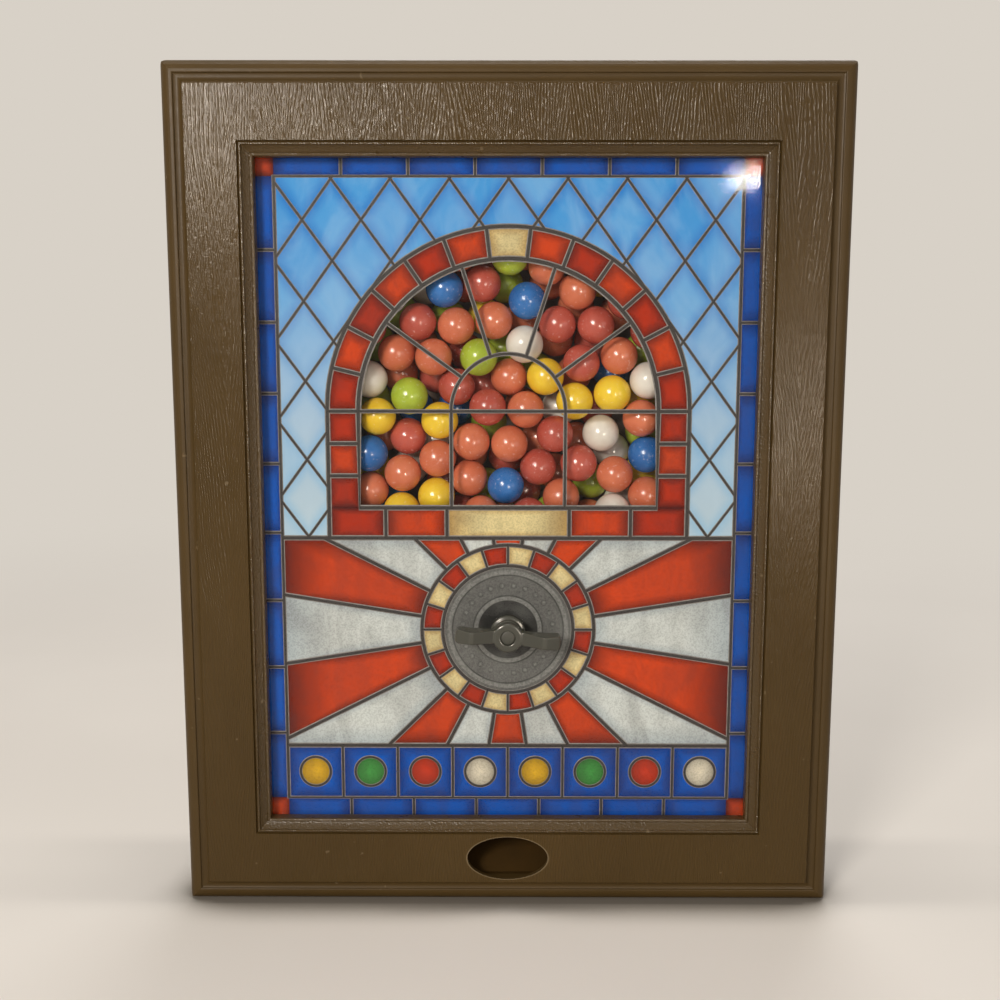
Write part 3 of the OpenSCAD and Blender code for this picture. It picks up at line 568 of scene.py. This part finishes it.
def sheet_with_holes(name, loops, y0, y1, mat):
    """A flat sheet between two depths; the first loop is its edge and the others are holes."""
    same_point = 0.001 * MM
    curve = bpy.data.curves.new(name, "CURVE")
    curve.dimensions = "2D"
    curve.fill_mode = "BOTH"
    curve.extrude = (y1 - y0) / 2
    for loop in loops:
        spline = curve.splines.new("POLY")
        spline.points.add(len(loop) - 1)
        spline.use_cyclic_u = True
        for point, (x, z) in zip(spline.points, loop):
            point.co = (x * MM, z * MM, 0, 1)
    holder = bpy.data.objects.new(name + "_curve", curve)
    scene.collection.objects.link(holder)
    bpy.context.view_layer.update()
    depsgraph = bpy.context.evaluated_depsgraph_get()
    mesh = bpy.data.meshes.new_from_object(holder.evaluated_get(depsgraph))
    bpy.data.objects.remove(holder)
    bpy.data.curves.remove(curve)
    bm = bmesh.new()
    bm.from_mesh(mesh)
    bpy.data.meshes.remove(mesh)
    for v in bm.verts:
        x, z, depth = v.co
        v.co = Vector((x, (y0 + y1) / 2 - depth, MID_Z + z))
    bmesh.ops.remove_doubles(bm, verts=bm.verts, dist=same_point)
    return new_object(name, bm, mat)


class Shaded:
    """Collects forms that have their own colours into one mesh."""

    DOME_RINGS = 6

    def __init__(self):
        self.bm = bmesh.new()
        self.shade = self.bm.verts.layers.float_color.new("shade")

    def vert(self, x, y, z, colour):
        v = self.bm.verts.new(place(x, y, z))
        v[self.shade] = colour
        return v

    def loop(self, points, y, colour):
        return [self.vert(x, y, z, colour) for x, z in points]

    def band(self, low, high):
        """Faces between two closed loops."""
        for i in range(len(low)):
            j = (i + 1) % len(low)
            self.bm.faces.new((low[i], low[j], high[j], high[i]))

    def pane(self, points, glass, middle=MIDDLE_STONE):
        """A pane that is brighter in its middle than along its edge."""
        colour, edge = glass
        cx = sum(x for x, _ in points) / len(points)
        cz = sum(z for _, z in points) / len(points)
        inside = [(cx + (x - cx) * middle, cz + (z - cz) * middle) for x, z in points]
        outer = self.loop(points, Y_PANE, edge)
        rear = self.loop(points, Y_BASE, edge)
        ring = self.loop(inside, Y_PANE, colour)
        self.band(outer, ring)
        self.band(rear, outer)
        self.bm.faces.new(ring)
        self.bm.faces.new(rear[::-1])

    def dome(self, cx, cz, r, y0, rise, colour, edge, steps=32):
        """A low round jewel."""
        rings = []
        for k in range(self.DOME_RINGS):
            share = k / self.DOME_RINGS
            climb = math.pi / 2 * share
            shade = tuple(e + (m - e) * share for e, m in zip(edge, colour))
            points = circle(cx, cz, r * math.cos(climb), steps)
            rings.append(self.loop(points, y0 - rise * math.sin(climb), shade))
        for low, high in zip(rings, rings[1:]):
            self.band(low, high)
        top = self.vert(cx, y0 - rise, cz, colour)
        last = rings[-1]
        for i in range(steps):
            self.bm.faces.new((last[i], last[(i + 1) % steps], top))
        self.bm.faces.new(rings[0][::-1])

    def strip(self, line, width, closed):
        """A lead strip along a line: a raised dark middle and paler edges."""
        n = len(line)
        sections = []
        for i, (x, z) in enumerate(line):
            before = line[i - 1] if i > 0 or closed else line[i]
            after = line[(i + 1) % n] if i < n - 1 or closed else line[i]
            dx = after[0] - before[0]
            dz = after[1] - before[1]
            size = math.hypot(dx, dz) or 1.0
            half_x = -dz / size * width / 2
            half_z = dx / size * width / 2
            section = []
            for side, up, pale in LEAD_SECTION:
                shade = LEAD_PALE if pale else LEAD_DARK
                depth = Y_LEAD - LEAD_RISE * up
                section.append(self.vert(x + half_x * side, depth, z + half_z * side, shade))
            sections.append(section)
        for near, far in zip(sections, sections[1:]):
            self.band(near, far)
        if closed:
            self.band(sections[-1], sections[0])
        else:
            self.bm.faces.new(sections[0])
            self.bm.faces.new(sections[-1][::-1])


# The picture

panes = Shaded()
lead = Shaded()


def lead_line(line, width=LEAD_MAIN, closed=False):
    lead.strip(line, width, closed)


def red_or_deep(i):
    return RED if i % 2 else DEEP


def add_backing():
    """The sheet that carries the panes, with the window and the shaft's hole cut through."""
    card = plain_plastic("backing_card", srgb(70, 64, 60), srgb(58, 52, 50), rough=0.6)
    loops = [rect(-FILM_X, -FILM_Z, FILM_X, FILM_Z),
             arch_loop(WIN_HALF, WIN_FOOT, WIN_SPRING),
             circle(0, AXIS_Z, BUSH_R)]
    backing = sheet_with_holes("picture_backing", loops, Y_BASE, Y_FILM_REAR, card)
    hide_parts("picture_film")


def add_field():
    """The blue field round the arch, in two halves."""
    steps = 24
    left_arc = arc(0, WIN_SPRING, RING_HALF, 180, 90, steps)
    right_arc = arc(0, WIN_SPRING, RING_HALF, 90, 0, steps)
    left = [(-IN_X, RING_FOOT), (-RING_HALF, RING_FOOT)] + left_arc + [(0, IN_Z), (-IN_X, IN_Z)]
    right = [(IN_X, RING_FOOT), (IN_X, IN_Z), (0, IN_Z)] + right_arc + [(RING_HALF, RING_FOOT)]
    sky_mat = sky_glass("sky_glass")
    for side, loop in (("left", left), ("right", right)):
        sheet_with_holes("field_panes_" + side, [loop], Y_PANE, Y_BASE, sky_mat)


def outside_arch(x, z):
    if abs(x) > IN_X or z > IN_Z or z < RING_FOOT:
        return False
    if z <= WIN_SPRING:
        return abs(x) > RING_HALF
    return math.hypot(x, z - WIN_SPRING) > RING_HALF


def lattice_lines():
    """The runs of the lattice's diagonal lines that lie in the field."""
    reach = round(FILM_X / LATTICE_STEP)
    for slant in (1, -1):
        for k in range(-LATTICE_REACH, LATTICE_REACH + 1):
            run = []
            for i in range(-reach, reach + 1):
                x = i * LATTICE_STEP
                z = slant * (k - x / CELL_W) * CELL_H
                if outside_arch(x, z):
                    run.append((x, z))
                    continue
                if len(run) > SHORT_RUN:
                    yield run[0], run[-1]
                run = []


def draw_arch():
    """The ring of stones round the window."""
    for i in range(STONES):
        a0 = 180 * i / STONES
        a1 = 180 * (i + 1) / STONES
        glass = CREAM if i == STONES // 2 else red_or_deep(i)
        panes.pane(ring_part(0, WIN_SPRING, WIN_HALF, RING_HALF, a0, a1, steps=5), glass)
        if i:
            lead_line([polar(0, WIN_SPRING, r, a0) for r in (WIN_HALF, RING_HALF)])
    step = (WIN_SPRING - WIN_FOOT) / SIDE_STONES
    for side in (-1, 1):
        for i in range(SIDE_STONES):
            z0 = WIN_FOOT + i * step
            z1 = WIN_FOOT + (i + 1) * step
            panes.pane(rect(side * WIN_HALF, z0, side * RING_HALF, z1), red_or_deep(i))
            lead_line([(side * WIN_HALF, z1), (side * RING_HALF, z1)])


def draw_sill():
    """The sill under the window, with a cream stone in its middle."""
    ends = (-RING_HALF, -SILL_END, -SILL_KEY, SILL_KEY, SILL_END, RING_HALF)
    for i, (x0, x1) in enumerate(zip(ends, ends[1:])):
        glass = CREAM if x0 == -SILL_KEY else red_or_deep(i)
        panes.pane(rect(x0, RING_FOOT, x1, WIN_FOOT), glass, MIDDLE_RAY)
        lead_line([(x1, RING_FOOT), (x1, WIN_FOOT)])


def draw_window():
    """Lead round the window, and a fanlight across it."""
    outer = arc(0, WIN_SPRING, RING_HALF, 0, 180, steps=64)
    lead_line(arch_loop(WIN_HALF, WIN_FOOT, WIN_SPRING), LEAD_WINDOW, closed=True)
    lead_line([(RING_HALF, RING_FOOT)] + outer + [(-RING_HALF, RING_FOOT)], LEAD_WIDE)
    lead_line([(-WIN_HALF, WIN_SPRING), (WIN_HALF, WIN_SPRING)], LEAD_BAR)
    lead_line(arc(0, WIN_SPRING, FAN_R, 0, 180, steps=40), LEAD_BAR)
    for i in range(1, FAN_PARTS):
        angle = 180 * i / FAN_PARTS
        lead_line([polar(0, WIN_SPRING, r, angle) for r in (FAN_R, WIN_HALF)], LEAD_BAR)
    for x in (-FAN_R, FAN_R):
        lead_line([(x, WIN_FOOT), (x, WIN_SPRING)], LEAD_BAR)


def to_edge(angle):
    """Where a ray from the plate's middle meets the lower field's edge."""
    level = 1e-6
    dx, dz = polar(0, 0, 1, angle)
    reach = [IN_X / abs(dx)] if abs(dx) > level else []
    if dz > level:
        reach.append((RING_FOOT - AXIS_Z) / dz)
    if dz < -level:
        reach.append((BAND_TOP - AXIS_Z) / dz)
    return polar(0, AXIS_Z, min(reach), angle)


def draw_rays():
    """Rays from the collar round the plate to the edges of the lower field."""
    shortest = 0.5
    corners = [math.degrees(math.atan2(z - AXIS_Z, x)) % 360
               for x in (-IN_X, IN_X) for z in (RING_FOOT, BAND_TOP)]
    for i in range(RAYS):
        a0 = 360 * (i - 0.5) / RAYS
        a1 = 360 * (i + 0.5) / RAYS
        between = sorted(c for k in corners for c in (k - 360, k, k + 360) if a0 < c < a1)
        rim = [to_edge(a) for a in [a1] + between[::-1] + [a0]]
        if math.hypot(rim[0][0], rim[0][1] - AXIS_Z) > COLLAR_R + shortest:
            outline = arc(0, AXIS_Z, COLLAR_R, a0, a1, steps=4) + rim
            panes.pane(outline, RED if i % 2 else PALE, MIDDLE_RAY)
        lead_line([polar(0, AXIS_Z, COLLAR_R, a0), to_edge(a0)])


def draw_collar():
    """The ring of small panes round the plate."""
    for i in range(RAYS):
        a0 = 360 * i / RAYS
        a1 = 360 * (i + 1) / RAYS
        outline = ring_part(0, AXIS_Z, PLATE_R, COLLAR_R, a0, a1, steps=3)
        panes.pane(outline, DEEP if i % 2 else CREAM, MIDDLE_SMALL)
        lead_line([polar(0, AXIS_Z, r, a0) for r in (PLATE_R, COLLAR_R)], LEAD_LATTICE)
    for r in (COLLAR_R, PLATE_R):
        lead_line(circle(0, AXIS_Z, r, steps=72), LEAD_MAIN, closed=True)
    lead_line([(-IN_X, RING_FOOT), (IN_X, RING_FOOT)], LEAD_WIDE)


def draw_band():
    """The band of jewels along the foot, parted by strips in two lengths."""
    cell = 2 * IN_X / JEWELS
    mid_z = (BAND_FOOT + BAND_TOP) / 2
    for i in range(JEWELS):
        x0 = -IN_X + i * cell
        x1 = -IN_X + (i + 1) * cell
        mid_x = (x0 + x1) / 2
        colour = JEWEL_COLOURS[i % len(JEWEL_COLOURS)]
        panes.pane(rect(x0, BAND_FOOT, x1, BAND_TOP), COBALT, MIDDLE_BLUE)
        panes.dome(mid_x, mid_z, JEWEL_R, Y_PANE, JEWEL_RISE, colour, darker(colour, JEWEL_EDGE))
        lead_line(circle(mid_x, mid_z, JEWEL_LEAD_R, steps=36), LEAD_THIN, closed=True)
        if i:
            lead_line([(x0, BAND_FOOT), (x0, mid_z - BAND_SPLIT)], LEAD_THIN)
            lead_line([(x0, mid_z + BAND_SPLIT), (x0, BAND_TOP)], LEAD_THIN)
    lead_line([(-IN_X, BAND_TOP), (IN_X, BAND_TOP)], LEAD_WIDE)


def draw_border():
    """The border, with square blocks in its corners."""
    step_x = 2 * IN_X / BORDER_ACROSS
    step_z = 2 * IN_Z / BORDER_UP
    for side in (-1, 1):
        in_x, film_x = side * IN_X, side * FILM_X
        in_z, film_z = side * IN_Z, side * FILM_Z
        for i in range(BORDER_ACROSS):
            x0 = -IN_X + i * step_x
            panes.pane(rect(x0, in_z, x0 + step_x, film_z), COBALT, MIDDLE_BLUE)
            if i:
                lead_line([(x0, in_z), (x0, film_z)], LEAD_THIN)
        for i in range(BORDER_UP):
            z0 = -IN_Z + i * step_z
            panes.pane(rect(in_x, z0, film_x, z0 + step_z), COBALT, MIDDLE_BLUE)
            if i:
                lead_line([(in_x, z0), (film_x, z0)], LEAD_THIN)
        for up in (-1, 1):
            panes.pane(rect(in_x, up * IN_Z, film_x, up * FILM_Z), RED, MIDDLE_SMALL)
    lead_line(rect(-IN_X, -IN_Z, IN_X, IN_Z), LEAD_MAIN, closed=True)


def add_plate():
    """The round plate behind the handle: rings turned about the shaft, and a circle of beads."""
    steps = 96
    bead_ring = 19.4
    bead_r = 1.3
    bead_foot = Y_PANE - 0.08 * MM
    bead_rise = 0.10 * MM
    # Radius, height and shade from the bush outwards, in millimetres
    section = ((BUSH_R, 0.02, GREY_DARK), (12.6, 0.02, GREY_DARK), (13.0, 0.16, GREY_PALE),
               (14.4, 0.18, GREY_PALE), (14.8, 0.06, GREY_DARK), (15.4, 0.08, GREY),
               (23.4, 0.10, GREY), (23.8, 0.03, GREY_DARK), (24.4, 0.16, GREY_PALE),
               (25.8, 0.18, GREY_PALE), (26.2, 0.08, GREY), (PLATE_R, 0.06, GREY))
    plate = Shaded()
    loops = [plate.loop(circle(0, AXIS_Z, r, steps), Y_PANE - h * MM, c) for r, h, c in section]
    loops += [plate.loop(circle(0, AXIS_Z, r, steps), Y_BASE, GREY) for r in (PLATE_R, BUSH_R)]
    for low, high in zip(loops, loops[1:] + loops[:1]):
        plate.band(low, high)
    for i in range(BEADS):
        x, z = polar(0, AXIS_Z, bead_ring, 360 * (i + 0.5) / BEADS)
        plate.dome(x, z, bead_r, bead_foot, bead_rise, GREY_PALE, GREY_DARK, steps=14)
    new_object("handle_plate", plate.bm, stippled_metal("plate_grey"))


add_backing()
add_field()
for start, end in lattice_lines():
    lead_line([start, end], LEAD_LATTICE)
draw_arch()
draw_sill()
draw_window()
draw_rays()
draw_collar()
draw_band()
draw_border()
new_object("coloured_panes", panes.bm, pane_glass("pane_glass"))
new_object("lead_strips", lead.bm, lead_metal("lead"))
add_plate()


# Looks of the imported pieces

def paint(names, mat):
    for name in names:
        mesh = nodes[name].data
        mesh.materials.clear()
        mesh.materials.append(mat)
        for p in mesh.polygons:
            p.material_index = 0


paint(["front_frame"], wood_plastic("frame_wood_plastic", srgb(75, 57, 29), srgb(64, 48, 23)))
paint(["rear_housing", "fill_door"],
      plain_plastic("housing_plastic", srgb(76, 60, 37), srgb(71, 56, 34), rough=0.46))
paint(["delivery_tray"],
      plain_plastic("tray_plastic", srgb(66, 46, 19), srgb(54, 38, 15), rough=0.5, level=0.1))
paint(["hopper"], plain_plastic("hopper_plastic", srgb(118, 92, 74), srgb(104, 80, 64), rough=0.5))
paint(["chassis_plate", "wheel_housing", "chute"],
      plain_plastic("pale_plastic", srgb(206, 202, 190), srgb(190, 186, 174), rough=0.45))
paint(["dispensing_wheel", "front_bush"],
      plain_plastic("wheel_plastic", srgb(226, 222, 206), srgb(210, 205, 188)))
paint(["handle"],
      plain_plastic("handle_grey", srgb(63, 62, 53), srgb(56, 55, 47), rough=0.22, grain=0.15))
# painted shade: the cap's grey is a little darker than the handle's, to stand for the shade of its
# recess
paint(["hub_cap"],
      plain_plastic("cap_grey_painted_shade", srgb(60, 59, 51), srgb(54, 53, 45), rough=0.5, grain=0.3, level=0.3))
paint(["chassis_screws", "mechanism_screws", "tray_screws", "housing_screws", "handle_screw",
       "drive_shaft", "thrust_washer", "shaft_clip", "hinge_pin"],
      metal("plated_steel", srgb(178, 176, 172)))
paint(["clear_panel"], clear_sheet("clear_plastic"))
for name, colour, shade in (
        ("red", srgb(186, 85, 69), srgb(172, 73, 58)),
        ("coral", srgb(209, 115, 80), srgb(197, 101, 68)),
        ("yellow", srgb(238, 200, 52), srgb(228, 184, 40)),
        ("blue", srgb(50, 110, 176), srgb(38, 94, 158)),
        ("green", srgb(172, 188, 58), srgb(156, 174, 48)),
        ("white", srgb(226, 217, 204), srgb(214, 203, 188))):
    paint(["gumballs_" + name], candy("candy_" + name, colour, shade))


def soften_handle():
    """Soft moulded edges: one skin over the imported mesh, with its edges worn round."""
    modifiers = nodes["handle"].modifiers
    weld = modifiers.new("weld", "WELD")
    weld.merge_threshold = 0.01 * MM
    skin = modifiers.new("skin", "REMESH")
    skin.mode = "VOXEL"
    skin.voxel_size = 0.25 * MM
    skin.use_smooth_shade = True
    worn = modifiers.new("worn_edges", "SMOOTH")
    worn.factor = 0.5
    worn.iterations = 6


soften_handle()


# Floor, light and camera, in metres

def fading_floor(name):
    """A pale floor with a painted contact shadow: an occlusion term darkens its colour close to the
    object, and it fades into the background.
    """
    shadow_reach = 30 * MM
    fade = (0.25, 1.1)
    s = Shader(name)
    x, y, _ = s.axes()
    away = s.math("SQRT", s.plus(s.times(x, x), s.times(y, y)))
    cloud = s.spread(s.noise(s.coord, scale=3), NOISE_SPAN)
    near = s.node("AmbientOcclusion")
    near.inputs["Distance"].default_value = shadow_reach
    pale = s.mix(cloud, srgb(222, 215, 207), srgb(217, 210, 202))
    open_share = s.spread(near.outputs["AO"], (0.45, 0.95))
    # painted shadow: the floor's colour goes dark where the object stands close
    s.finish(s.mix(open_share, FLOOR_PAINTED_SHADOW, pale), rough=0.6, level=0.2)
    glow = s.node("Emission")
    glow.inputs["Color"].default_value = BACKDROP
    share = s.times(s.spread(away, fade), seen_directly(s.tree))
    s.link(mix_shaders(s.tree, share, s.main.outputs[0], glow.outputs[0]), s.out.inputs["Surface"])
    return s.mat


def add_floor():
    half = 6.0
    floor_z = cad_box[0][2]
    mesh = bpy.data.meshes.new("floor")
    corners = [(x, y, floor_z) for x, y in rect(-half, -half, half, half)]
    mesh.from_pydata(corners, [], [(0, 1, 2, 3)])
    mesh.materials.append(fading_floor("floor_pale"))
    floor = bpy.data.objects.new("floor", mesh)
    scene.collection.objects.link(floor)


def light_world():
    """A weak even light, with the backdrop's colour where the world itself is seen."""
    world = bpy.data.worlds.new("studio")
    scene.world = world
    world.use_nodes = True
    tree = world.node_tree
    ambient = tree.nodes["Background"]
    ambient.inputs["Color"].default_value = (1.0, 0.98, 0.95, 1)
    ambient.inputs["Strength"].default_value = 0.27
    shown = tree.nodes.new("ShaderNodeBackground")
    shown.inputs["Color"].default_value = BACKDROP
    shown.inputs["Strength"].default_value = 1.0
    both = mix_shaders(tree, seen_directly(tree), ambient.outputs[0], shown.outputs[0])
    tree.links.new(both, tree.nodes["World Output"].inputs["Surface"])


def area_light(name, where, target, size, power, colour=(1, 1, 1), gloss_only=False):
    """A lamp that is aimed; one for gloss only shows in reflections and casts no light."""
    data = bpy.data.lights.new(name, "AREA")
    data.shape = "RECTANGLE"
    data.size, data.size_y = size
    data.energy = power
    data.color = colour
    obj = bpy.data.objects.new(name, data)
    scene.collection.objects.link(obj)
    obj.location = where
    obj.visible_diffuse = not gloss_only
    aim = Vector(target) - Vector(where)
    obj.rotation_euler = aim.to_track_quat("-Z", "Y").to_euler()


def add_lamps():
    warm = (1.0, 0.97, 0.92)
    amber = (1.0, 0.86, 0.70)
    middle = (0, 0, MID_Z)
    below = (0, FACE_Y + 0.001, MID_Z)
    corner = (0.095, -0.046, MID_Z + 0.133)
    area_light("key", (-0.66, -1.42, MID_Z + 0.54), middle,
               size=(0.4, 0.4), power=18, colour=warm)
    area_light("overhead", (0, FACE_Y, MID_Z + 1.5), below,
               size=(0.9, 0.06), power=9, colour=warm)
    area_light("fill", (1.2, -1.3, MID_Z + 0.1), middle,
               size=(0.8, 0.8), power=4, colour=warm)
    area_light("rear", (0.3, 1.4, MID_Z + 1.0), middle,
               size=(1.2, 1.2), power=12)
    area_light("sheen_left", (-0.53, -1.45, MID_Z + 0.38), middle,
               size=(0.24, 0.24), power=13, colour=amber, gloss_only=True)
    area_light("sheen_right", (0.49, -1.45, MID_Z - 0.14), middle,
               size=(0.1, 0.3), power=12, colour=amber, gloss_only=True)
    area_light("glint", (0.385, -1.509, MID_Z + 0.305), corner,
               size=(0.06, 0.024), power=0.55, colour=warm)


def add_camera():
    """The camera's place and directions come from a fit to the frame's four corners."""
    look = Vector((-0.00391, 0.98958, -0.14391))
    up = Vector((-0.00148, 0.14390, 0.98959))
    data = bpy.data.cameras.new("camera")
    data.sensor_width = 36
    data.lens = 43.2
    camera = bpy.data.objects.new("camera", data)
    scene.collection.objects.link(camera)
    camera.location = (-0.00145, FACE_Y - 0.49443, MID_Z + 0.07264)
    camera.rotation_euler = Matrix((look.cross(up), up, -look)).transposed().to_euler()
    scene.camera = camera


add_floor()
light_world()
add_lamps()
add_camera()

scene.view_settings.view_transform = "Standard"
